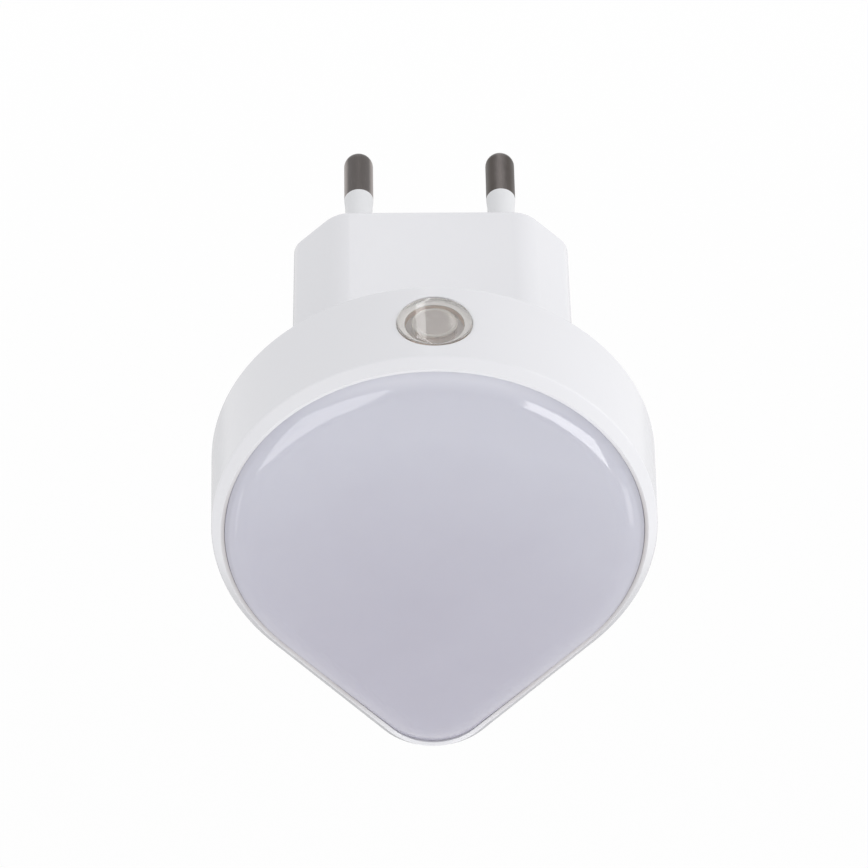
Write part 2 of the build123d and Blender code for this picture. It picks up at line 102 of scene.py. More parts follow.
# %% The camera
elevation = radians(40.076)
azimuth = radians(-0.888)
roll = radians(0.243)
distance = 955.914 * mm
aim = Vector((0.138, -25.0, -10.406)) * mm
lens_length = 308.87
film_width = 36.0

back = Vector((sin(azimuth) * cos(elevation), -cos(azimuth) * cos(elevation), sin(elevation)))
level_right = Vector((0, 0, 1)).cross(back).normalized()
level_up = back.cross(level_right)
right = level_right * cos(roll) + level_up * sin(roll)
up = level_up * cos(roll) - level_right * sin(roll)


def placed(name, data):
    """An object for some data, linked to the scene."""
    thing = bpy.data.objects.new(name, data)
    bpy.context.scene.collection.objects.link(thing)
    return thing


camera = placed("camera", bpy.data.cameras.new("camera"))
facing = Matrix((right, up, back)).transposed()
camera.matrix_world = Matrix.Translation(aim + back * distance) @ facing.to_4x4()
camera.data.lens = lens_length
camera.data.sensor_width = film_width
bpy.context.scene.camera = camera
bpy.context.scene.view_settings.view_transform = "Standard"
print("camera stands at", [round(v, 3) for v in camera.location])

# %% [markdown]
# ## Shader maths as Python
#
# A material is easier to read as a formula than as a pile of nodes. The class Signal wraps one socket, and
# its operators add the Math nodes, so `0.3 + 0.1 * grain` builds two nodes and gives the socket at their
# end. Every other node comes from Finish.node, which sets a node's own options first and then fills its
# sockets.


# %% Shader maths as Python
class Signal:
    """A value that changes over a surface, as the socket that carries it."""

    def __init__(self, finish, socket):
        self.finish = finish
        self.socket = socket

    def math(self, operation, *values):
        return self.finish.node("ShaderNodeMath", {"operation": operation}, dict(enumerate(values)))["Value"]

    def __add__(self, other):
        return self.math("ADD", self, other)

    def __radd__(self, other):
        return self.math("ADD", other, self)

    def __sub__(self, other):
        return self.math("SUBTRACT", self, other)

    def __rsub__(self, other):
        return self.math("SUBTRACT", other, self)

    def __mul__(self, other):
        return self.math("MULTIPLY", self, other)

    def __rmul__(self, other):
        return self.math("MULTIPLY", other, self)

    def __truediv__(self, other):
        return self.math("DIVIDE", self, other)

    def __rtruediv__(self, other):
        return self.math("DIVIDE", other, self)

    def __abs__(self):
        return self.math("ABSOLUTE", self)

    def root(self):
        return self.math("SQRT", self)

    def larger(self, other):
        return self.math("MAXIMUM", self, other)


class Outputs:
    """The outputs of a node, each taken by its name as a Signal."""

    def __init__(self, finish, node):
        self.finish = finish
        self.sockets = node.outputs

    def __getitem__(self, name):
        socket = next(s for s in self.sockets if s.enabled and s.name == name)
        return Signal(self.finish, socket)


# %% [markdown]
# ## A finish
#
# A finish holds one node tree. Its first methods add any node at all, and the rest are the few patterns
# that come again and again: noise of a given size, a run of values mapped to another, a mix of colours, a
# bumped normal. When it ends, the finish is kept under its name, so that a piece can ask for it by the name
# of its slot.

# %% A finish
finishes = {}


class Finish:
    """One node tree, built node by node: a material, or the sky."""

    def __init__(self, name, kind=bpy.data.materials):
        self.name = name
        self.owner = kind.new(name)
        self.owner.use_nodes = True
        self.tree = self.owner.node_tree
        self.tree.nodes.clear()

    def node(self, kind, settings=None, sockets=None):
        """Adds a node: its own settings first, then the values or links of its sockets."""
        node = self.tree.nodes.new(kind)
        for key, value in (settings or {}).items():
            setattr(node, key, value)
        for key, value in (sockets or {}).items():
            if isinstance(key, int):
                socket = node.inputs[key]
            else:
                socket = next(s for s in node.inputs if s.enabled and s.name == key)
            if isinstance(value, Signal):
                self.tree.links.new(value.socket, socket)
            else:
                socket.default_value = value
        return Outputs(self, node)

    def vector(self, operation, first, second):
        """Vector Math on two vectors."""
        return self.node("ShaderNodeVectorMath", {"operation": operation}, {0: first, 1: second})

    def place(self):
        """Where a point lies on the object, in metres."""
        return self.node("ShaderNodeTexCoord")["Object"]

    def axis(self, place, name):
        """One coordinate of a place: X, Y or Z."""
        return self.node("ShaderNodeSeparateXYZ", None, {"Vector": place})[name]

    def depth(self, place):
        """How far a place lies in front of the plug's end face."""
        return 0 - self.axis(place, "Y")

    def stretched(self, place, x, y, z):
        """The same place with each axis scaled, which draws a pattern out along one of them."""
        return self.vector("MULTIPLY", place, (x, y, z))["Vector"]

    def noise(self, place, size, detail=2.0, roughness=0.5):
        """Soft noise from 0 to 1, whose blotches are about size across."""
        sockets = {"Vector": place, "Scale": 1 / size, "Detail": detail, "Roughness": roughness}
        return self.node("ShaderNodeTexNoise", None, sockets)["Fac"]

    def between(self, value, low, high, start=0.0, end=1.0):
        """The value's run from low to high mapped to start and end, and held there beyond."""
        sockets = {"Value": value, "From Min": low, "From Max": high, "To Min": start, "To Max": end}
        return self.node("ShaderNodeMapRange", {"clamp": True}, sockets)["Result"]

    def mixed(self, amount, first, second):
        """A colour between two others."""
        sockets = {"Factor": amount, "A": first, "B": second}
        return self.node("ShaderNodeMix", {"data_type": "RGBA"}, sockets)["Result"]

    def bumped(self, height, strength, reach):
        """A normal that leans as if the surface had this height, in units of reach."""
        sockets = {"Height": height, "Strength": strength, "Distance": reach}
        return self.node("ShaderNodeBump", None, sockets)["Normal"]

    def principled(self, sockets):
        """The shader that covers plastic, metal and glass alike."""
        return self.node("ShaderNodeBsdfPrincipled", None, sockets)["BSDF"]

    def blended(self, amount, first, second):
        """A shader between two others."""
        return self.node("ShaderNodeMixShader", None, {0: amount, 1: first, 2: second})["Shader"]

    def end(self, surface):
        """Ends a material with its surface, and keeps it under its name."""
        self.node("ShaderNodeOutputMaterial", None, {"Surface": surface})
        finishes[self.name] = self.owner
        print("finish", self.name, "has", len(self.tree.nodes), "nodes")


def grey(level, tint=(0, 0, 0)):
    """An opaque colour near grey."""
    return (level + tint[0], level + tint[1], level + tint[2], 1.0)


def darkened(colour, share):
    """A colour with a share of its brightness taken away."""
    return tuple(part * (1 - share) for part in colour[:3]) + (1.0,)


# %% [markdown]
# ## Shade in the groove
#
# The rim slopes down to the diffuser all round, and the narrow groove between them lies in shade. The lamps
# and the mesh leave it too light, so shade is painted into the white plastic there, in a brownish grey. Lamps
# alone would leave it too clean, and real dust would need more mesh than it is worth, so the white plastic is
# darkened there. Three things tell the slope from the rest of the ring: it lies just behind the front, its
# normal leans inwards, and light from above reaches the crest and the tip better than the sides and the
# flanks.

# %% Shade in the groove
lip_bevel_depth = 0.15 * mm
groove_floor = 0.4 * mm
groove_lean = 6 * mm
groove_shade_tone = (0.31, 0.27, 0.26, 1.0)
crest_share = 0.4
shade_high = centre_z + 18 * mm
shade_low = centre_z + 4 * mm
tip_share = 0.1
tip_shade_high = tip_z + 1 * mm
tip_shade_low = tip_z - 5 * mm


def low_down(finish, place):
    """How strongly the painted shade shows: from 0 on the upper arc to 1 round the sides and the flanks, and
    back to a trace at the tip.
    """
    height = finish.axis(place, "Z")
    flanks = finish.between(height, shade_high, shade_low)
    return flanks * finish.between(height, tip_shade_low, tip_shade_high, tip_share)


def groove_shade(finish, place):
    """The painted shade on the rim's inner slope, less on the crest and none on the outer side."""
    from_middle = finish.vector("SUBTRACT", finish.stretched(place, 1, 0, 1), at(0, 0, centre_z))["Vector"]
    normal = finish.node("ShaderNodeNewGeometry")["Normal"]
    outward = finish.vector("DOT_PRODUCT", from_middle, normal)["Value"]
    depth = finish.depth(place)
    front = finish.between(depth, body_front - 1.2 * groove_floor, body_front - groove_floor)
    deep = finish.between(depth, body_front, body_front - lip_bevel_depth, crest_share, 1.0)
    return finish.between(outward, groove_lean, -groove_lean) * front * deep * low_down(finish, place)


print("the slope is shaded down to", round((body_front - groove_floor) / mm, 2), "mm")

# %% [markdown]
# ## Moulded plastic
#
# A moulded shell is never quite even. The steel of its mould leaves a faint ripple that a highlight shows,
# the colour drifts a little where the melt has flowed, and handling dulls the gloss in fine streaks. One
# recipe with a few numbers covers the white shell, the sleeves, the retainer, the tan boot and the black
# chips.


# %% Moulded plastic
def moulded(name, colour, drift, gloss, wear, ripple, ripple_size=0.6 * mm, groove_shade_share=0.0):
    """Plastic straight from the mould: a drifting colour, worn gloss, and a ripple in its skin."""
    finish = Finish(name)
    place = finish.place()
    flow = finish.noise(finish.stretched(place, 1, 1, 0.4), 14 * mm, 3)
    handling = finish.noise(finish.stretched(place, 3, 1, 0.5), 1.2 * mm, 4, 0.7)
    skin = finish.noise(place, ripple_size, 3)
    base = finish.mixed(flow, darkened(colour, drift), colour)
    if groove_shade_share > 0:
        # Painted shade: the white shell turns towards a brownish grey on the rim's inner slope, where the
        # groove's shade falls.
        base = finish.mixed(groove_shade_share * groove_shade(finish, place), base, groove_shade_tone)
    finish.end(finish.principled({
        "Base Color": base,
        "Roughness": gloss + wear * finish.between(handling, 0.35, 0.75),
        "Normal": finish.bumped(skin, ripple, 0.02 * mm),
        "IOR": 1.5,
    }))


moulded("white_shell", grey(0.83, (0, -0.003, 0.02)), 0.02, 0.15, 0.10, 0.06, 1.5 * mm, 0.6)
moulded("pin_sleeve", grey(0.81, (0, 0.002, 0.015)), 0.04, 0.32, 0.12, 0.20, 0.3 * mm)
moulded("retainer_plastic", grey(0.66, (0, -0.005, -0.03)), 0.06, 0.38, 0.12, 0.30)
moulded("boot_silicone", (0.80, 0.66, 0.50, 1.0), 0.12, 0.55, 0.15, 0.40, 0.2 * mm)
moulded("chip_black", grey(0.022), 0.25, 0.45, 0.15, 0.60, 0.1 * mm)

# %% [markdown]
# ## Opal plastic
#
# The diffuser scatters the light of the lamps behind it, so it is milky and a little lilac while it is off. A
# painted shade deepens its tone over the hollow behind its middle and its tip, while the edge, where the
# skirt backs it, stays paler. Subsurface scattering lets light soak in, and a coat gives the polish of its
# face. Two
# narrow bands follow the depth: painted light makes the roll along the top paler, and painted shade darkens
# its foot in the groove.

# %% Opal plastic
opal_side = 3.0 * mm
opal_middle = 34.0 * mm
opal_reach = 42.0 * mm
foot_low = body_front + 0.02 * mm
foot_high = body_front + 0.2 * mm
foot_shade = 0.16
foot_tone = (0.20, 0.19, 0.22, 1.0)
# Painted light: the roll along the upper arc is made paler, where light from above falls on it.
roll_low = body_front + 0.1 * mm
roll_high = body_front + 0.75 * mm
roll_start_z = centre_z + 19 * mm
roll_full_z = centre_z + 25 * mm
roll_light_share = 0.7
roll_light_tone = (0.72, 0.72, 0.78, 1.0)


def opal(name, pale, deep):
    """Milky plastic with painted shade over the hollow behind it, painted light on its roll and painted shade
    at its foot.
    """
    finish = Finish(name)
    place = finish.place()
    across = finish.axis(place, "X") + opal_side
    height = finish.axis(place, "Z") + opal_middle
    away = (across * across + height * height) / (opal_reach * opal_reach)
    cloud = finish.noise(place, 9 * mm, 3)
    # Painted shade: darker towards the lower middle and the tip, over the hollow behind the cap.
    hollow_shade = finish.between(away + 0.25 * cloud, 0.1, 1.0, 1.0, 0.0)
    streaks = finish.noise(finish.stretched(place, 2, 1, 0.6), 0.9 * mm, 4, 0.7)
    skin = finish.noise(place, 1.5 * mm, 2)
    depth = finish.depth(place)
    foot = foot_shade * finish.between(depth, foot_high, foot_low) * low_down(finish, place)
    # Painted light on the roll along the top, and painted shade at its foot in the groove.
    top = finish.between(finish.axis(place, "Z"), roll_start_z, roll_full_z)
    roll = roll_light_share * finish.between(depth, roll_high, roll_low) * top
    milk = finish.mixed(roll, finish.mixed(hollow_shade, pale, deep), roll_light_tone)
    finish.end(finish.principled({
        "Base Color": finish.mixed(foot, milk, foot_tone),
        "Roughness": 0.07 + 0.06 * finish.between(streaks, 0.45, 0.85),
        "Normal": finish.bumped(skin, 0.12, 0.02 * mm),
        "Coat Weight": 0.5,
        "Coat Roughness": 0.05,
        "Subsurface Weight": 0.6,
        "Subsurface Radius": (1.0, 0.95, 0.9),
        "Subsurface Scale": 0.35 * mm,
        "IOR": 1.585,
    }))


opal("opal_diffuser", (0.58, 0.58, 0.65, 1.0), (0.474, 0.460, 0.537, 1.0))

# %% [markdown]
# ## Screws and contact strips
#
# Zinc-plated steel and brass strip are bright metals with blotches of tarnish and fine tool marks. One
# noise gives the tarnish, which changes colour and gloss together, and a finer one gives the marks.
# Squeezing its axes draws the marks out along the way that the strip was rolled.


# %% Screws and contact strips
def metal(name, bright, dull, gloss, wear, marked, along=(1, 1, 1)):
    """Plated or plain metal: tarnish in blotches, and tool marks drawn out by the along scales."""
    finish = Finish(name)
    place = finish.place()
    tarnish = finish.noise(place, 2.5 * mm, 5, 0.6)
    marks = finish.noise(finish.stretched(place, *along), 0.12 * mm, 3)
    amount = finish.between(tarnish + 0.3 * marks, 0.45, 0.85)
    finish.end(finish.principled({
        "Base Color": finish.mixed(amount, bright, dull),
        "Metallic": 1.0,
        "Roughness": gloss + wear * amount,
        "Normal": finish.bumped(marks, marked, 0.01 * mm),
    }))


metal("screw_steel", (0.62, 0.62, 0.60, 1), (0.42, 0.41, 0.38, 1), 0.25, 0.20, 0.30)
metal("contact_brass", (0.78, 0.58, 0.27, 1), (0.52, 0.36, 0.17, 1), 0.24, 0.20, 0.25, (0.1, 1, 1))

# %% [markdown]
# ## Worn pins
#
# The pins are turned from brass and plated with nickel, which dulls to a warm dark grey with use. A
# socket's springs draw fine scratches along them, and the two pins differ: the left one is lighter along both
# sides, and the right one is darker there, with a painted highlight along its middle. A mask could be
# painted, but the distance from each pin's own axis gives all of this, and it fits both pins without a seam.

# %% Worn pins
pin_axis = pin_spacing / 2
band_reach = 2.0 * mm
nose_start = pin_length - 1.2 * mm
pin_side_tone = (0.065, 0.052, 0.044, 1.0)


def worn_pin(name, dull, worn):
    """Tarnished plating with lighter and darker bands and a painted highlight, told apart by how far a point
    is from the middle of its pin.
    """
    finish = Finish(name)
    place = finish.place()
    sideways = finish.axis(place, "X")
    right_pin = finish.between(sideways, -pin_axis / 2, pin_axis / 2)
    tarnish = finish.noise(place, 2.0 * mm, 5, 0.6)
    grain = finish.noise(finish.stretched(place, 1, 0.06, 1), 0.10 * mm, 3)
    off_middle = abs(abs(sideways) - pin_axis) / band_reach + 0.20 * (tarnish - 0.5)
    # The left pin is lighter along both sides; the right pin is darker at its sides and has a painted
    # highlight along its middle.
    lighter_sides = (1 - right_pin) * finish.between(off_middle, 0.66, 0.90)
    middle_highlight = right_pin * finish.between(off_middle, 0.45, 0.05, 0.0, 0.25)
    darker_sides = 0.75 * right_pin * finish.between(off_middle, 0.20, 0.60)
    nose = finish.between(finish.axis(place, "Y"), nose_start, pin_length, 0.0, 0.7)
    amount = finish.between(lighter_sides + nose + middle_highlight + 0.30 * (grain - 0.5), 0.0, 1.0)
    finish.end(finish.principled({
        "Base Color": finish.mixed(darker_sides, finish.mixed(amount, dull, worn), pin_side_tone),
        "Metallic": 1.0,
        "Roughness": 0.30 + 0.15 * tarnish,
        "Normal": finish.bumped(grain, 0.15, 0.01 * mm),
    }))


worn_pin("nickel_pin", (0.115, 0.103, 0.098, 1), (0.36, 0.32, 0.305, 1))

# %% [markdown]
# ## The clear window
#
# The window is clear plastic. A real transmission shader bends the view of the sensor below it, which gives
# most of the rings that a thick clear button shows, and they move with the viewer as real ones do. The
# mould leaves the barrel's wall and the corner of its cup matt, so two bands are blended towards a frosted
# shader. Shadow rays go straight through, because bent light would hardly reach the sensor.

# %% The clear window
window_proud = 0.1 * mm
window_top = body_top + window_proud
window_depth = body_back + 6.8 * mm
clear_index = 1.49
frost_tone = (0.95, 0.76, 0.62, 1.0)
corner_tone = (0.82, 0.80, 0.77, 1.0)
barrel_share = 0.9
corner_share = 0.5
# Each pair says where a band's edge starts and where the band is full, as a radius or as a fall from the
# top.
barrel_wall = (3.3 * mm, 3.5 * mm)
barrel_top = (1.12 * mm, 1.2 * mm)
corner_inside = (2.3 * mm, 2.45 * mm)
corner_outside = (3.0 * mm, 2.95 * mm)
corner_top = (0.45 * mm, 0.55 * mm)
corner_foot = (1.0 * mm, 0.9 * mm)


def frosted(finish, place):
    """Where the window is matt, as two amounts: the wall of its barrel, and the corner of its cup."""
    across = finish.axis(place, "X")
    along = finish.axis(place, "Y") + window_depth
    radius = (across * across + along * along).root()
    fall = window_top - finish.axis(place, "Z")
    barrel = finish.between(radius, *barrel_wall) * finish.between(fall, *barrel_top)
    band = finish.between(radius, *corner_inside) * finish.between(radius, *corner_outside)
    return barrel, band * finish.between(fall, *corner_top) * finish.between(fall, *corner_foot)


def clear(name, pale, deep, gloss):
    """Clear plastic with a faint ripple, and a warmer tint where it is seen through its length."""
    finish = Finish(name)
    place = finish.place()
    far_down = finish.between(window_top - finish.axis(place, "Z"), 1.1 * mm, 1.6 * mm)
    haze = finish.noise(place, 0.8 * mm, 4, 0.7)
    button = finish.principled({
        "Base Color": finish.mixed(far_down, pale, deep),
        "Roughness": gloss + 0.03 * finish.between(haze, 0.5, 0.8),
        "Normal": finish.bumped(finish.noise(place, 1.0 * mm), 0.10, 0.01 * mm),
        "Transmission Weight": 0.86,
        "IOR": clear_index,
    })
    barrel, corner = frosted(finish, place)
    frost = finish.principled({
        "Base Color": finish.mixed(corner, frost_tone, corner_tone),
        "Roughness": 0.6,
        "IOR": clear_index,
    })
    button = finish.blended(barrel_share * barrel + corner_share * corner, button, frost)
    open_way = finish.node("ShaderNodeBsdfTransparent", None, {"Color": pale})["BSDF"]
    finish.end(finish.blended(finish.node("ShaderNodeLightPath")["Is Shadow Ray"], button, open_way))


clear("clear_window", (0.97, 0.955, 0.93, 1.0), (1.0, 0.78, 0.60, 1.0), 0.01)

# %% [markdown]
# ## The light sensor
#
# The sensor under the window is cast in smoky epoxy, which lets infrared through and little else. It reads
# as a warm grey disc, so a soft cloud between two greys is enough, and a low roughness keeps its moulded
# gleam.


# %% The light sensor
def sensor_epoxy(name, pale, deep):
    """Smoky epoxy: warm grey with a cloudy middle."""
    finish = Finish(name)
    place = finish.place()
    cloud = finish.noise(place, 1.4 * mm, 4)
    finish.end(finish.principled({
        "Base Color": finish.mixed(cloud, deep, pale),
        "Roughness": 0.22 + 0.1 * cloud,
        "Normal": finish.bumped(cloud, 0.1, 0.02 * mm),
        "IOR": 1.55,
    }))


sensor_epoxy("sensor_body", (0.33, 0.28, 0.27, 1.0), (0.27, 0.225, 0.22, 1.0))

# %% [markdown]
# ## Boards and their parts
#
# A circuit board shows the weave of its glass cloth faintly through the resist, so two waves at right
# angles modulate colour and height. The parts on it are moulded, lacquered or sleeved, each with its own
# grain.


# %% Boards and their parts
def board(name, resist, weave_depth):
    """Solder resist over woven glass."""
    finish = Finish(name)
    place = finish.place()
    threads = []
    for direction in "XZ":
        bands = {"wave_type": "BANDS", "bands_direction": direction}
        wave = finish.node("ShaderNodeTexWave", bands, {"Vector": place, "Scale": 400.0, "Distortion": 0.6})
        threads.append(wave["Fac"])
    weave = threads[0] * threads[1]
    blotch = finish.noise(place, 5 * mm, 3)
    finish.end(finish.principled({
        "Base Color": finish.mixed(0.6 * weave + 0.4 * blotch, darkened(resist, weave_depth), resist),
        "Roughness": 0.28 + 0.12 * blotch,
        "Normal": finish.bumped(weave, 0.25, 0.02 * mm),
    }))


board("board_white", (0.74, 0.75, 0.74, 1.0), 0.10)
board("board_green", (0.030, 0.150, 0.050, 1.0), 0.35)
moulded("capacitor_box", (0.62, 0.42, 0.03, 1.0), 0.12, 0.24, 0.12, 0.25)
moulded("capacitor_sleeve", (0.015, 0.018, 0.045, 1.0), 0.20, 0.30, 0.10, 0.25)
moulded("resistor_body", (0.10, 0.19, 0.15, 1.0), 0.20, 0.40, 0.15, 0.60, 0.2 * mm)
moulded("diode_glass", (0.36, 0.11, 0.05, 1.0), 0.20, 0.10, 0.08, 0.10)

# %% [markdown]
# ## Lamps on the board
#
# Each of the small lamps is a white case round a pool of yellow phosphor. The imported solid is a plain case
# with a sunken disc, so the two colours are patches of one coarse noise, and the settled powder is a fine
# one.


# %% Lamps on the board
def led_case(name):
    """White case and yellow phosphor in patches, with the grain of the phosphor's settled powder."""
    finish = Finish(name)
    place = finish.place()
    powder = finish.noise(place, 0.15 * mm, 4, 0.7)
    patch = finish.between(finish.noise(place, 2.2 * mm, 1), 0.45, 0.55)
    colour = finish.mixed(patch, (0.80, 0.78, 0.66, 1.0), (0.78, 0.66, 0.22, 1.0))
    finish.end(finish.principled({
        "Base Color": finish.mixed(0.3 * powder, colour, (0.86, 0.84, 0.76, 1.0)),
        "Roughness": 0.3 + 0.2 * powder,
        "Normal": finish.bumped(powder, 0.3, 0.01 * mm),
    }))


led_case("led_case")
print("finishes:", len(finishes))

# %% [markdown]
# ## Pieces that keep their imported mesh
#
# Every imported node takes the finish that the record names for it. The outer ones are replaced further down,
# and the finish is looked up from the same table there, so a piece and its node can't disagree.

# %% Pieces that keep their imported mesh
slots = {part["node"]: part["material_slot"] for part in frame["record"]["subparts"]}
for name, node in nodes.items():
    node.data.materials.clear()
    node.data.materials.append(finishes[slots[name]])
print("dressed nodes:", len(slots))

# %% [markdown]
# ## Skins made of loops
#
# Each rebuilt piece is a closed skin made of loops of points. Two loops with the same number of points are
# joined by a wall of quads, and a flat stretch is filled between its outer loop and the loops of its holes.
# That is how a die maker sees such a part, and it keeps the mesh even, which a glossy surface needs.


# %% Skins made of loops
crease = radians(32)


class Skin:
    """A mesh under construction."""

    def __init__(self):
        self.mesh = bmesh.new()

    def loop(self, points):
        """A closed loop of new points."""
        return [self.mesh.verts.new(point) for point in points]

    def wall(self, first, second, leave_out=()):
        """Quads between two loops, except at the places that are left out."""
        count = len(first)
        for i in range(count):
            if i not in leave_out:
                j = (i + 1) % count
                self.mesh.faces.new((first[i], first[j], second[j], second[i]))

    def walls(self, loops):
        """Quads from each loop to the next."""
        for first, second in zip(loops, loops[1:]):
            self.wall(first, second)

    def cap(self, loop, point):
        """A fan from a loop to one point."""
        tip = self.mesh.verts.new(point)
        for i, vertex in enumerate(loop):
            self.mesh.faces.new((vertex, loop[(i + 1) % len(loop)], tip))

    def flat(self, *loops):
        """Fills a flat stretch between an outer loop and its holes."""
        edges = []
        for loop in loops:
            for i, vertex in enumerate(loop):
                pair = (vertex, loop[(i + 1) % len(loop)])
                edges.append(self.mesh.edges.get(pair) or self.mesh.edges.new(pair))
        bmesh.ops.triangle_fill(self.mesh, use_beauty=True, use_dissolve=False, edges=edges)

    def data(self, name):
        """Ends the construction and hands out the mesh."""
        bmesh.ops.recalc_face_normals(self.mesh, faces=self.mesh.faces)
        data = bpy.data.meshes.new(name)
        self.mesh.to_mesh(data)
        self.mesh.free()
        return data

    def piece(self, name, replaced):
        """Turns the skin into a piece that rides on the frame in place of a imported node."""
        data = self.data(name)
        data.shade_smooth()
        data.set_sharp_from_angle(angle=crease)
        thing = placed(name, data)
        evened = thing.modifiers.new("evened", "WEIGHTED_NORMAL")
        evened.keep_sharp = True
        slot = slots[replaced]
        data.materials.append(finishes[slot])
        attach(thing, "root")
        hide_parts(replaced)
        print(name, "faces:", len(data.polygons))


# %% [markdown]
# ## Rounded corners
#
# No moulded edge is sharp. A profile is written as its corners, each with the radius of its rounding, and
# this helper puts an arc of a few points into every corner that has one. The same helper draws the plug's
# outline.


# %% Rounded corners
def rounded(corners, steps=6):
    """The points of a closed outline, from corners given as (a, b, radius)."""
    points = []
    for i, (a, b, radius) in enumerate(corners):
        corner = Vector((a, b))
        if radius == 0:
            points.append(corner)
            continue
        before = (Vector(corners[i - 1][:2]) - corner).normalized()
        after = (Vector(corners[(i + 1) % len(corners)][:2]) - corner).normalized()
        half = before.angle(after) / 2
        centre = corner + (before + after).normalized() * radius / sin(half)
        start = corner + before * radius / tan(half) - centre
        end = corner + after * radius / tan(half) - centre
        turn = start.angle_signed(end)
        for k in range(steps + 1):
            share = turn * k / steps
            points.append(centre + Matrix.Rotation(-share, 2) @ start)
    return points


half_round_square = rounded([(0, 0, 0), (4, 0, 1), (4, 4, 1), (0, 4, 0)])
print("a square with two round corners has", len(half_round_square), "points")

# %% [markdown]
# ## Round pieces
#
# Pins, sleeves, screws and the window are turned shapes: a profile of (radius, height) spun round an axis.
# The place matrix puts that axis where the real one is. A radius of zero closes the skin with a fan.

# %% Round pieces
around = 48
around_small = 32
around_large = 64


def spin(skin, profile, place, count=around):
    """Adds a turned shape to a skin, with its axis along the place's own z."""
    loops = []
    for radius, height in profile:
        turns = [2 * pi * k / count for k in range(count)]
        loops.append([place @ Vector((radius * cos(turn), radius * sin(turn), height)) for turn in turns])
    starts_closed = profile[0][0] == 0
    ends_closed = profile[-1][0] == 0
    rows = [skin.loop(ring) for ring in loops[int(starts_closed):len(loops) - int(ends_closed)]]
    skin.walls(rows)
    if starts_closed:
        skin.cap(rows[0], loops[0][0])
    if ends_closed:
        skin.cap(rows[-1], loops[-1][0])


def open_profile(corners, steps=6):
    """A turned profile whose first and last points keep their place, with rounded corners between."""
    return [(p.x, p.y) for p in rounded(corners, steps)]


def tube(bore, radius, length, soft):
    """The closed profile of a tube, whose far outer edge may be broken."""
    end = [(radius, length - soft), (radius - soft, length)] if soft else [(radius, length)]
    return [(bore, 0), (radius, 0), *end, (bore, length), (bore, 0)]


def facing_wall(x, depth, z):
    """A place whose own z runs along the pins, from a depth."""
    return Matrix.Translation(at(x, depth, z)) @ Matrix.Rotation(-pi / 2, 4, "X")


def facing_room(x, depth, z):
    """A place whose own z runs towards the room, from a depth."""
    return Matrix.Translation(at(x, depth, z)) @ Matrix.Rotation(pi / 2, 4, "X")


print("points round a turned shape:", around_small, "to", around_large)

# %% [markdown]
# ## The drop outline
#
# Stations along the drop's two arcs and two flanks carry a point and the outward direction there. Moving
# each station inwards by the same inset gives the true parallel outline, so one list of stations serves the
# wall, the rim, the diffuser and the cover.

# %% The drop outline
crown_steps = 133
flank_steps = 10
tip_steps = 24


def drop_stations():
    """Points of the drop outline with their outward directions, anticlockwise from the right flank's top."""
    stations = []
    for k in range(crown_steps + 1):
        angle = -tip_half_angle + (pi + 2 * tip_half_angle) * k / crown_steps
        out = Vector((cos(angle), sin(angle)))
        stations.append((Vector((0, centre_z)) + out * body_radius, out))
    crown_end, out_left = stations[-1]
    tip_left = Vector((0, tip_z)) + out_left * tip_radius
    for k in range(1, flank_steps):
        stations.append((crown_end.lerp(tip_left, k / flank_steps), out_left))
    for k in range(tip_steps + 1):
        angle = pi + tip_half_angle + (pi - 2 * tip_half_angle) * k / tip_steps
        out = Vector((cos(angle), sin(angle)))
        stations.append((Vector((0, tip_z)) + out * tip_radius, out))
    tip_right, out_right = stations[-1]
    for k in range(1, flank_steps):
        stations.append((tip_right.lerp(stations[0][0], k / flank_steps), out_right))
    return stations


drop = drop_stations()


def drop_loop(inset, depth):
    """The drop outline at an inset, as points at one depth."""
    spots = [point - out * inset for point, out in drop]
    return [at(spot.x, depth, spot.y) for spot in spots]


print("stations round the drop:", len(drop))

# %% [markdown]
# ## Housing ring
#
# The ring is the lamp's wall and rim in one moulding. Its section is a closed profile that is carried round
# the drop: up the drafted wall, over a bevel to the crest, down to the diffuser's seat, and back inside to
# the rebate for the cover. The wall has no rows of points where the sensor window sits. That patch is
# filled by rings that pass from the patch's square edge to a round hole, so the hole is truly round and the
# wall keeps its smooth bend.

# %% Housing ring
body_draft = radians(0.4)
draft_growth = body_depth * tan(body_draft)
bevel_width = 1.15 * mm
bevel_depth = 1.3 * mm
front_lip = 1.65 * mm
lip_bevel_width = 0.45 * mm
body_wall = 2.7 * mm
rear_lip = 1.6 * mm
skirt_depth = 2.8 * mm
cover_thickness = 2.0 * mm
diffuser_seat = body_front - skirt_depth
cover_front = body_back + cover_thickness
bevel_foot = body_front - bevel_depth
back_round = 0.35 * mm
foot_round = 0.6 * mm
crest_round = 0.06 * mm
lip_round = 0.04 * mm
edge_break = 0.12 * mm


def wall_inset(depth):
    """How far the drafted wall stands inside the outline; it is negative behind the front."""
    return -draft_growth * (body_front - depth) / body_depth


ring_section = rounded([
    (wall_inset(bevel_foot), bevel_foot, foot_round),
    (bevel_width, body_front, 0),
    (front_lip - lip_bevel_width, body_front, crest_round),
    (front_lip, body_front - lip_bevel_depth, lip_round),
    (front_lip, diffuser_seat, 0),
    (body_wall, diffuser_seat, 0),
    (body_wall, cover_front, 0),
    (rear_lip, cover_front, 0),
    (rear_lip, body_back, edge_break),
    (wall_inset(body_back), body_back, back_round),
])
ring_skin = Skin()
ring_loops = [ring_skin.loop(drop_loop(inset, depth)) for inset, depth in ring_section]
ring_skin.walls(ring_loops)
print("points in the ring's section:", len(ring_section))

# %% [markdown]
# The section has no long outer wall yet. Its rows are laid between the section's two ends, and they leave
# out the patch round the window.

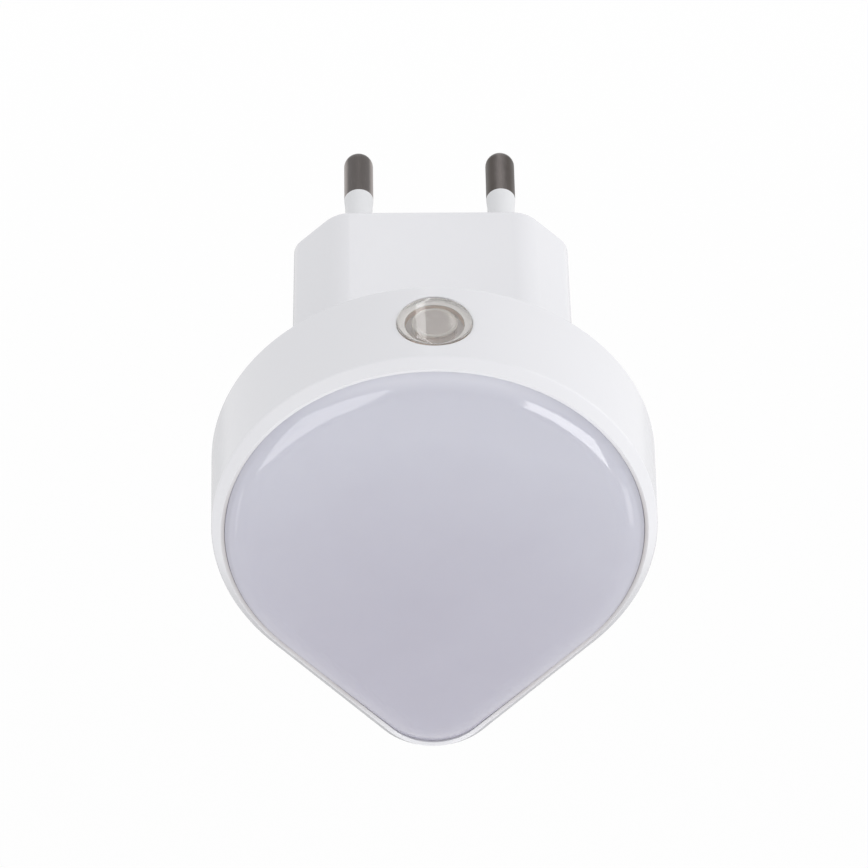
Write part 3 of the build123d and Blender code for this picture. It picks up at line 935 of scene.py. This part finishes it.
# %% The outer wall
wall_rows = 12
patch_first = 59
patch_last = 74
wall_front = ring_section[0].y
wall_back = ring_section[-1].y
wall_loops = [ring_loops[-1]]
for k in range(1, wall_rows):
    depth = wall_back + (wall_front - wall_back) * k / wall_rows
    wall_loops.append(ring_skin.loop(drop_loop(wall_inset(depth), depth)))
wall_loops.append(ring_loops[0])
for first, second in zip(wall_loops, wall_loops[1:]):
    ring_skin.wall(first, second, range(patch_first, patch_last))
print("the wall is", round((wall_front - wall_back) / mm, 2), "mm deep between its roundings")

# %% [markdown]
# The patch's edge is walked once round, and each of its points gets a partner on the hole's rim in the same
# direction from the window's centre. The hole goes on down as a counterbore for the window's flange and a
# bore for its barrel.

# %% The window's hole
window_radius = 4.75 * mm
window_gap = 0.04 * mm
window_flange = 1.1 * mm
barrel_radius = 3.7 * mm
hole_round = 0.12 * mm
round_steps = 4
patch_rings = 6
edge = wall_loops[0][patch_first:patch_last + 1]
edge += [row[patch_last] for row in wall_loops[1:]]
edge += wall_loops[-1][patch_first:patch_last][::-1]
edge += [row[patch_first] for row in wall_loops[1:-1]][::-1]
hole_radius = window_radius + window_gap
seat_z = window_top - window_flange
barrel_hole = barrel_radius + window_gap


def wall_point(x, depth, sink=0.0):
    """A point on the wall's upper arc, or below it by a sink."""
    radius = body_radius - wall_inset(depth)
    return at(x, depth, centre_z + sqrt(radius * radius - x * x) - sink)


def hole_spots(radius):
    """Places round the window's axis as (x, depth), one for each point of the patch's edge."""
    for vertex in edge:
        toward = Vector((vertex.co.x, -vertex.co.y - window_depth)).normalized() * radius
        yield toward.x, window_depth + toward.y


def rim_loop(radius, sink):
    """Points of the hole's rim, which follows the wall."""
    return [wall_point(x, depth, sink) for x, depth in hole_spots(radius)]


rim_start = rim_loop(hole_radius + hole_round, 0)
patch = [edge]
for k in range(1, patch_rings):
    spots = [vertex.co.lerp(rim_point, k / patch_rings) for vertex, rim_point in zip(edge, rim_start)]
    patch.append(ring_skin.loop([wall_point(spot.x, -spot.y) for spot in spots]))
patch.append(ring_skin.loop(rim_start))
for k in range(1, round_steps + 1):
    lean = pi / 2 * k / round_steps
    rim = rim_loop(hole_radius + hole_round * (1 - sin(lean)), hole_round * (1 - cos(lean)))
    patch.append(ring_skin.loop(rim))
for radius, height in ((hole_radius, seat_z), (barrel_hole, seat_z), (barrel_hole, body_top - body_wall)):
    patch.append(ring_skin.loop([at(x, depth, height) for x, depth in hole_spots(radius)]))
ring_skin.walls(patch)
print("points round the window's hole:", len(edge))

# %% [markdown]
# Three bosses inside take the case screws. They are tubes that sink a little into the wall, so each is a
# turned skin of its own in the same piece.

# %% Bosses for the case screws
boss_radius = 2.7 * mm
boss_length = 8.0 * mm
boss_blend = 0.3 * mm
boss_angle = radians(14)
case_screw_radius = 1.3 * mm
boss_reach = boss_radius + body_wall - boss_blend


def three_places(reach, angle, tip):
    """Two places mirrored on the upper arc, and one in the tip, as (x, z)."""
    x, z = reach * cos(angle), centre_z + reach * sin(angle)
    return [(-x, z), (x, z), (0, tip)]


case_screw_places = three_places(body_radius - boss_reach, boss_angle, tip_z - tip_radius + boss_reach)
for x, z in case_screw_places:
    boss = tube(case_screw_radius, boss_radius, boss_length, edge_break)
    spin(ring_skin, boss, facing_room(x, cover_front, z), around_small)
ring_skin.piece("housing_shell", "housing_ring")

# %% [markdown]
# ## Diffuser
#
# The opal cap is a shallow dome cut to the drop, with a rolled edge and a skirt that goes down to its seat.
# The roll follows the dome's level, which changes round the outline, so its rows are worked out point by
# point. The face itself is filled by ever smaller copies of the outline, because a fan from the edge would
# pinch the reflections.

# %% Diffuser
diffuser_inset = 1.652 * mm
diffuser_wall = 1.5 * mm
diffuser_bevel_width = 2.16 * mm
diffuser_bevel_depth = 1.15 * mm
diffuser_side_round = 0.25 * mm
diffuser_face_round = 5.7 * mm
diffuser_crown = 0.95 * mm
diffuser_proud = 0.7 * mm
diffuser_apex = body_front + diffuser_proud + diffuser_crown
half_length = body_top - middle_z
face_rings = 16
roll_steps = 12


def dome_depth(x, z, inset, apex):
    """The depth of the dome over a point, for the outer face or the one inside it."""
    reach = half_length - inset
    ball = (reach ** 2 + diffuser_crown ** 2) / (2 * diffuser_crown)
    return apex - ball + sqrt(ball ** 2 - x ** 2 - (z - middle_z) ** 2)


def dome_loop(inset, apex, step=0.0, fall=0.0, share=0.0):
    """A loop on the dome or a fall below it, a step inside its edge, and drawn in by a share."""
    points = []
    for point, out in drop:
        spot = (point - out * (inset + step)).lerp(Vector((0, middle_z)), share)
        points.append(at(spot.x, dome_depth(spot.x, spot.y, inset, apex) - fall, spot.y))
    return points


def domed_face(skin, outer_loop, inset, apex, step=0.0):
    """Fills a loop, which lies a step inside the dome's edge, with shrinking copies of itself on the dome."""
    shares = [k / face_rings for k in range(1, face_rings)]
    loops = [outer_loop] + [skin.loop(dome_loop(inset, apex, step, share=share)) for share in shares]
    skin.walls(loops)
    skin.cap(loops[-1], at(0, dome_depth(0, middle_z, inset, apex), middle_z))


def edge_profile():
    """The rolled edge as (inset, fall below the dome), from the side to the face."""
    far = 2 * diffuser_bevel_width + diffuser_face_round
    corners = [(0, far, 0), (0, diffuser_bevel_depth, diffuser_side_round),
               (diffuser_bevel_width, 0, diffuser_face_round), (far, 0, 0)]
    return rounded(corners, roll_steps)[1:-1]


inner_inset = diffuser_inset + diffuser_wall
inner_apex = diffuser_apex - diffuser_wall
cap_skin = Skin()
cap_loops = [cap_skin.loop(dome_loop(inner_inset, inner_apex)),
             cap_skin.loop(drop_loop(inner_inset, diffuser_seat)),
             cap_skin.loop(drop_loop(diffuser_inset, diffuser_seat))]
rolled_edge = edge_profile()
for step, fall in rolled_edge:
    cap_loops.append(cap_skin.loop(dome_loop(diffuser_inset, diffuser_apex, step, fall)))
cap_skin.walls(cap_loops)
domed_face(cap_skin, cap_loops[-1], diffuser_inset, diffuser_apex, rolled_edge[-1].x)
domed_face(cap_skin, cap_loops[0], inner_inset, inner_apex)
cap_skin.piece("diffuser_cap", "diffuser")

# %% [markdown]
# ## Rear cover with the plug body
#
# The plug body is a flattened hexagon with level top and bottom, hollow inside, and it grows out of the
# plate that closes the lamp. Both are one moulding, so they are one skin: the end face with its two pin
# holes, the rounded edge, the drafted sides, the plate with three screw seats, and the cavity.

# %% Rear cover with the plug body
plug_half_width = 17.75 * mm
plug_half_height = 6.5 * mm
plug_draft = tan(radians(0.55))
plug_wall = 2.0 * mm
plug_end_wall = 3.0 * mm
plug_edge_round = 4.5 * mm
plug_side_round = 2.6 * mm
plug_face_round = 0.9 * mm
least_round = 0.5 * mm
plug_steps = 6
plug_corner_steps = 8


def plug_loop(inset, depth):
    """The plug's outline at an inset, as points at one depth."""
    half_height = plug_half_height - inset
    half_width = plug_half_width + plug_side_round * (sqrt(2) - 1) - inset * sqrt(2)
    shoulder = half_width - half_height
    edge_round = max(plug_edge_round - inset, least_round)
    side_round = max(plug_side_round - inset, least_round)
    upper = [(half_width, 0, side_round),
             (shoulder, half_height, edge_round),
             (-shoulder, half_height, edge_round)]
    corners = upper + [(-x, -z, soft) for x, z, soft in upper]
    return [at(spot.x, depth, spot.y) for spot in rounded(corners, plug_corner_steps)]


cover_skin = Skin()
plug_loops = []
for k in range(plug_steps + 1):
    lean = pi / 2 * k / plug_steps
    depth = plug_face_round * (1 - cos(lean))
    inset = plug_face_round * (1 - sin(lean)) - depth * plug_draft
    plug_loops.append(cover_skin.loop(plug_loop(inset, depth)))
plug_loops.append(cover_skin.loop(plug_loop(-body_back * plug_draft, body_back)))
cover_skin.walls(plug_loops)
cavity = [cover_skin.loop(plug_loop(plug_wall, depth)) for depth in (plug_end_wall, cover_front)]
cover_skin.walls(cavity)
print("points round the plug:", len(cavity[0]))

# %% [markdown]
# Each hole is a stack of circles: the holes for the pins have a seat for the sleeve, and those in the plate
# have one for a screw's head. The flat stretches are filled last, between the outlines and the mouths of
# the holes.

# %% Holes in the cover
sleeve_hole = 1.92 * mm
core_hole = 1.55 * mm
sleeve_seat_depth = 1.5 * mm
screw_head_radius = 2.3 * mm
screw_head_height = 1.1 * mm
screw_clearance = 0.15 * mm
cover_gap = 0.15 * mm
cover_inset = rear_lip + cover_gap


def stepped_hole(x, z, steps):
    """Walls of a hole through the cover from its (radius, depth) steps, and its two mouths."""
    turns = [2 * pi * k / around for k in range(around)]
    loops = []
    for radius, depth in steps:
        points = [at(x + radius * cos(turn), depth, z + radius * sin(turn)) for turn in turns]
        loops.append(cover_skin.loop(points))
    cover_skin.walls(loops)
    return loops[0], loops[-1]


pin_steps = [(sleeve_hole, 0), (sleeve_hole, sleeve_seat_depth), (core_hole, sleeve_seat_depth),
             (core_hole, plug_end_wall)]
end_holes, floor_holes = zip(*[stepped_hole(side * pin_spacing / 2, 0, pin_steps) for side in (-1, 1)])
cover_skin.flat(plug_loops[0], *end_holes)
cover_skin.flat(cavity[0], *floor_holes)

head_seat = body_back + screw_head_height
head_hole = screw_head_radius + screw_clearance
screw_bore = case_screw_radius + screw_clearance
screw_steps = [(head_hole + edge_break, body_back), (head_hole, body_back + edge_break),
               (head_hole, head_seat), (screw_bore, head_seat), (screw_bore, cover_front)]
back_holes, front_holes = zip(*[stepped_hole(x, z, screw_steps) for x, z in case_screw_places])
plate = [cover_skin.loop(drop_loop(cover_inset + edge_break, body_back)),
         cover_skin.loop(drop_loop(cover_inset, body_back + edge_break)),
         cover_skin.loop(drop_loop(cover_inset, cover_front))]
cover_skin.walls(plate)
cover_skin.flat(plate[0], plug_loops[-1], *back_holes)
cover_skin.flat(plate[-1], cavity[-1], *front_holes)
print("holes in the cover:", len(end_holes) + len(back_holes))

# %% [markdown]
# Standoffs for the lamp board, the seat for the retainer's screw, and the rails of the driver board stand
# inside. The mould forms them with the cover. Here they are skins of their own in the same piece, because
# nothing shows where they meet the plate and the walls, and one joined mesh would need a hole for the foot
# of each.

# %% Standoffs and rails
standoff_height = 0.8 * mm
standoff_radius = 2.3 * mm
small_screw_radius = 1.0 * mm
retainer_seat_height = 1.0 * mm
board_gap = 0.4 * mm
board_edge = 3.0 * mm
board_tip_edge = 6.0 * mm
lamp_screw_reach = body_radius - body_wall - board_gap - board_edge
lamp_screw_angle = radians(57)
driver_half_width = 11.5 * mm
driver_edge = 1.8 * mm
rail_half = 0.6 * mm
rail_x = driver_half_width - driver_edge - rail_half
rail_back = 5.5 * mm
rail_front = cover_front + 0.5 * mm
rail_sink = 0.1 * mm
rail_low = plug_wall - plug_half_height - rail_sink
rail_high = -3.0 * mm
rail_round = 0.15 * mm
rail_steps = 3

for x, z in three_places(lamp_screw_reach, lamp_screw_angle, tip_z + board_tip_edge):
    standoff = tube(small_screw_radius, standoff_radius, standoff_height, edge_break)
    spin(cover_skin, standoff, facing_room(x, cover_front, z), around_small)
retainer_seat = tube(small_screw_radius, standoff_radius, retainer_seat_height, 0)
spin(cover_skin, retainer_seat, facing_room(0, plug_end_wall, 0), around_small)
for side in (-1, 1):
    low_x, high_x = side * rail_x - rail_half, side * rail_x + rail_half
    outline = rounded([(low_x, rail_low, rail_round), (high_x, rail_low, rail_round),
                       (high_x, rail_high, rail_round), (low_x, rail_high, rail_round)], rail_steps)
    ends = [cover_skin.loop([at(p.x, depth, p.y) for p in outline]) for depth in (rail_back, rail_front)]
    cover_skin.wall(*ends)
    for end in ends:
        cover_skin.flat(end)
cover_skin.piece("rear_cover_moulding", "rear_cover")

# %% [markdown]
# ## Pins and sleeves
#
# Each pin is turned: a round nose, the bare stretch that makes contact, a thinner core through the sleeve,
# a flange behind the end wall and a riveted tail. The sleeve is thicker at its front, where it meets the
# metal, and narrows to a waist, which is what a moulded insulating sleeve on such a pin does.

# %% Pins and sleeves
pin_radius = 1.9 * mm
nose_round = 1.8 * mm
nose_steps = 10
shoulder_round = 0.08 * mm
sleeve_length = 10.3 * mm
pin_core = 1.5 * mm
flange_radius = 2.8 * mm
flange_front = plug_end_wall + 1.0 * mm
flange_round = 0.1 * mm
tail_radius = 1.0 * mm
tail_front = flange_front + 1.9 * mm
rivet_radius = 1.4 * mm
rivet_front = tail_front + 0.5 * mm
rivet_round = 0.25 * mm
waist_radius = 1.78 * mm
waist_round = 1.5 * mm
collar = 0.3 * mm
collar_round = 0.6 * mm
taper = 1.5 * mm

pin_profile = open_profile([
    (0, pin_length, 0), (pin_radius, pin_length, nose_round),
    (pin_radius, sleeve_length, shoulder_round), (pin_core, sleeve_length, 0),
    (pin_core, -plug_end_wall, 0), (flange_radius, -plug_end_wall, 0),
    (flange_radius, -flange_front, flange_round), (tail_radius, -flange_front, 0),
    (tail_radius, -tail_front, 0), (rivet_radius, -tail_front, 0),
    (rivet_radius, -rivet_front, rivet_round), (0, -rivet_front, 0),
], nose_steps)
sleeve_profile = open_profile([
    (pin_core, -sleeve_seat_depth, 0), (waist_radius, -sleeve_seat_depth, 0),
    (waist_radius, sleeve_length - collar - taper, waist_round),
    (pin_radius, sleeve_length - collar, collar_round),
    (pin_radius, sleeve_length, shoulder_round), (pin_core, sleeve_length, 0),
])
sleeve_profile.append(sleeve_profile[0])
turned_pieces = ((pin_profile, "pin_metal_", "pin_"), (sleeve_profile, "sleeve_", "pin_sleeve_"))
for side, name in ((-1, "left"), (1, "right")):
    axis = facing_wall(side * pin_spacing / 2, 0, 0)
    for profile, piece, node in turned_pieces:
        skin = Skin()
        spin(skin, profile, axis)
        skin.piece(piece + name, node + name)

# %% [markdown]
# ## Sensor window
#
# The window is a clear button: a flange that lies in the wall's recess and a barrel that reaches down over
# the sensor. Seen from above, the flat top, the barrel's wall and the cup's roof give three rings. Its top
# is crowned by a hair, so that it mirrors a patch of the room and not a single point.

# %% Sensor window
seat_gap = 0.03 * mm
barrel_length = 3.2 * mm
roof_thickness = 0.6 * mm
window_seat = seat_z + seat_gap
barrel_foot = window_seat - barrel_length
cup_radius = 2.85 * mm
cup_roof = window_top - roof_thickness
cup_round = 0.15 * mm
roof_steps = (0.3 * mm, 0.6 * mm, cup_radius)
barrel_round = 0.1 * mm
window_round = 0.25 * mm
flange_edge = 0.05 * mm
window_crown = 0.08 * mm
crown_rings = 6
window_steps = 5
crown_edge = window_top - window_crown
crown_points = [(window_radius * k / crown_rings, window_top - window_crown * (k / crown_rings) ** 2, 0)
                for k in range(crown_rings)]
roof_points = [(cup_radius - inset, cup_roof, 0) for inset in roof_steps]
window_profile = open_profile(crown_points + [
    (window_radius, crown_edge, window_round), (window_radius, window_seat, flange_edge),
    (barrel_radius, window_seat, barrel_round), (barrel_radius, barrel_foot, barrel_round),
    (cup_radius, barrel_foot, barrel_round), (cup_radius, cup_roof, cup_round),
] + roof_points, window_steps)
window_skin = Skin()
spin(window_skin, window_profile, Matrix.Translation(at(0, window_depth, 0)), around_large)
window_skin.piece("window_button", "sensor_window")

# %% [markdown]
# ## Case screws
#
# Three pan-head screws close the case from the rear. The cross recess in each head is cut with a boolean,
# because it is a small pocket with flat walls, and writing its loops by hand would teach nothing new.

# %% Case screws
screw_length = 7.5 * mm
point_radius = 0.3 * mm
head_round = 0.35 * mm
drive_half_width = 0.25 * mm
drive_half_span = 0.6 * screw_head_radius
drive_depth = 0.6 * mm
screw_profile = open_profile([
    (0, -screw_head_height, 0), (screw_head_radius, -screw_head_height, head_round),
    (screw_head_radius, 0, 0), (case_screw_radius, 0, 0),
    (case_screw_radius, screw_length - case_screw_radius, 0), (point_radius, screw_length, 0),
    (0, screw_length, 0),
])


def cross_cutter():
    """A plus-shaped prism that stands over a screw's head."""
    w, s = drive_half_width, drive_half_span
    arms = [(w, w), (w, s), (-w, s), (-w, w), (-s, w), (-s, -w)]
    plan = arms + [(-x, -y) for x, y in arms]
    cutter = Skin()
    ends = [cutter.loop([Vector((x, y, height)) for x, y in plan])
            for height in (drive_depth - screw_head_height, -2 * screw_head_height)]
    cutter.wall(*ends)
    for end in ends:
        cutter.flat(end)
    return cutter.data("cross_cutter")


def cut_screw():
    """A screw's mesh with its cross recess, in its own place."""
    blank_skin = Skin()
    spin(blank_skin, screw_profile, Matrix.Identity(4), around_small)
    blank = placed("screw_blank", blank_skin.data("screw_blank"))
    cutter = placed("cross_cutter", cross_cutter())
    cut = blank.modifiers.new("cut", "BOOLEAN")
    cut.operation = "DIFFERENCE"
    cut.object = cutter
    bpy.context.view_layer.update()
    result = bpy.data.meshes.new_from_object(blank.evaluated_get(bpy.context.evaluated_depsgraph_get()))
    bpy.data.objects.remove(blank)
    bpy.data.objects.remove(cutter)
    return result


one_screw = cut_screw()
screw_skin = Skin()
for x, z in case_screw_places:
    copy = one_screw.copy()
    copy.transform(facing_room(x, head_seat, z))
    screw_skin.mesh.from_mesh(copy)
screw_skin.piece("case_screw_set", "case_screws")

# %% [markdown]
# ## Floor
#
# A pale floor lies below the lamp. To the camera most of its brightness is a plain glow, so it reads as
# white paper, and the rest is lit like any surface, so it keeps the lamp's soft shadow. More light could
# make it as white, but it would wash out the lamp, so the glow is told by the kind of ray instead. Gloss
# and glass see the white paper too.

# %% Floor
floor_drop = 260 * mm
floor_half = 3.0
seen_share = 0.985


def seen_directly(finish):
    """1 for rays that come from the camera, straight or off gloss or through glass, and 0 for the rest."""
    rays = finish.node("ShaderNodeLightPath")
    return rays["Is Camera Ray"].larger(rays["Is Glossy Ray"]).larger(rays["Is Transmission Ray"])


def matt(finish, colour):
    """A shader with no gloss at all."""
    return finish.principled({"Base Color": colour, "Roughness": 1.0, "Specular IOR Level": 0.0})


def level_sheet(name, finish, half_width, near, far, z):
    """A level rectangle of the stage, from near to far along Y."""
    data = bpy.data.meshes.new(name)
    corners = [(-half_width, near, z), (half_width, near, z), (half_width, far, z), (-half_width, far, z)]
    data.from_pydata(corners, [], [(0, 1, 2, 3)])
    data.materials.append(finish.owner)
    return placed(name, data)


paper = Finish("pale_floor")
fibres = paper.noise(paper.place(), 4 * mm, 3)
glow = paper.node("ShaderNodeEmission", None, {"Color": grey(1.0), "Strength": 1.0})["Emission"]
lit = matt(paper, paper.mixed(fibres, grey(0.90), grey(0.93)))
paper.end(paper.blended(seen_share * seen_directly(paper), lit, glow))
floor_z = tip_z - tip_radius - floor_drop
floor = level_sheet("floor", paper, floor_half, -floor_half, floor_half, floor_z)
print("the floor lies at", round(floor_z / mm, 1), "mm")

# %% [markdown]
# ## Flag
#
# A studio holds grey cards round a glossy white thing, so that its edges don't melt into a white ground.
# This one lies between the lamp and the floor, towards the wall, where the camera doesn't see it. Its near
# part is grey, for the undersides and the lower flanks that mirror it, and its far part is pale, so that
# the upright ends of the wall stay light.

# %% Flag
flag_half = 0.25
flag_near = 40 * mm
flag_far = 420 * mm
flag_lift = 40 * mm
pale_start = 235 * mm
pale_full = 245 * mm

card = Finish("grey_card")
card_place = card.place()
card_grey = card.mixed(card.noise(card_place, 2 * mm, 3), grey(0.16), grey(0.20))
far_part = card.between(card.axis(card_place, "Y"), pale_start, pale_full)
card.end(matt(card, card.mixed(far_part, card_grey, grey(0.84))))
flag = level_sheet("flag", card, flag_half, flag_near, flag_far, floor_z + flag_lift)
flag.visible_camera = False
flag.visible_shadow = False
print("the flag reaches over", round((flag_far - flag_near) / mm), "mm under the lamp")

# %% [markdown]
# ## Sky
#
# The world is one broad, even light, as from a white tent. A ray that is seen finds it white, as it finds
# the floor, and for every other ray it is dimmer, so that pale surfaces keep their tone.

# %% Sky
sky_strength = 0.76
sky = Finish("soft_sky", bpy.data.worlds)
strength = sky_strength + (1 - sky_strength) * seen_directly(sky)
light = sky.node("ShaderNodeBackground", None, {"Color": (0.985, 0.99, 1.0, 1.0), "Strength": strength})
sky.node("ShaderNodeOutputWorld", None, {"Surface": light["Background"]})
bpy.context.scene.world = sky.owner
print("the sky lights with", sky_strength)

# %% [markdown]
# ## Soft boxes
#
# Soft boxes give a studio its calm light, and each one shows as a bright patch in whatever is glossy. So a
# box is placed by its reflection: a direction from the lamp, and a width and a height in degrees. The two
# in front make the arcs on the diffuser's roll, the sides and the top even out the wall, two small low ones
# give the gleams where the flanks begin, and a thin strip behind draws the bright streak in the window.


# %% Soft boxes
def soft_box(name, side, lift, reach, width, height, radiance, turn=0.0):
    """A lamp seen from the night light in one direction, with its width and height in degrees."""
    light = bpy.data.lights.new(name, "AREA")
    light.shape = "RECTANGLE"
    light.size = 2 * reach * tan(radians(width) / 2)
    light.size_y = 2 * reach * tan(radians(height) / 2)
    light.energy = radiance * pi * light.size * light.size_y
    side, lift = radians(side), radians(lift)
    toward = Vector((sin(side) * cos(lift), -cos(side) * cos(lift), sin(lift)))
    facing = toward.to_track_quat("Z", "Y").to_matrix() @ Matrix.Rotation(radians(turn), 3, "Z")
    placed(name, light).matrix_world = Matrix.Translation(aim + toward * reach) @ facing.to_4x4()
    print(name, "gives", round(light.energy, 3), "W")


soft_box("left_front_box", -22.4, -7.4, 0.5, 28, 26, 1.7)
soft_box("right_front_box", 27.6, -9.0, 0.5, 22.5, 17, 3.3, -25)
soft_box("left_side_box", -60, 30, 0.7, 34, 40, 0.3)
soft_box("right_side_box", 100, 22, 0.5, 40, 60, 1.2)
soft_box("top_box", 0, 88, 0.7, 52, 56, 0.15)
soft_box("right_low_box", 46, -28.5, 0.42, 9, 12, 1.0)
soft_box("left_low_box", -48, -29, 0.42, 4, 14, 0.8)
soft_box("back_strip", -179.41, 40, 0.7, 0.77, 44, 3.5)
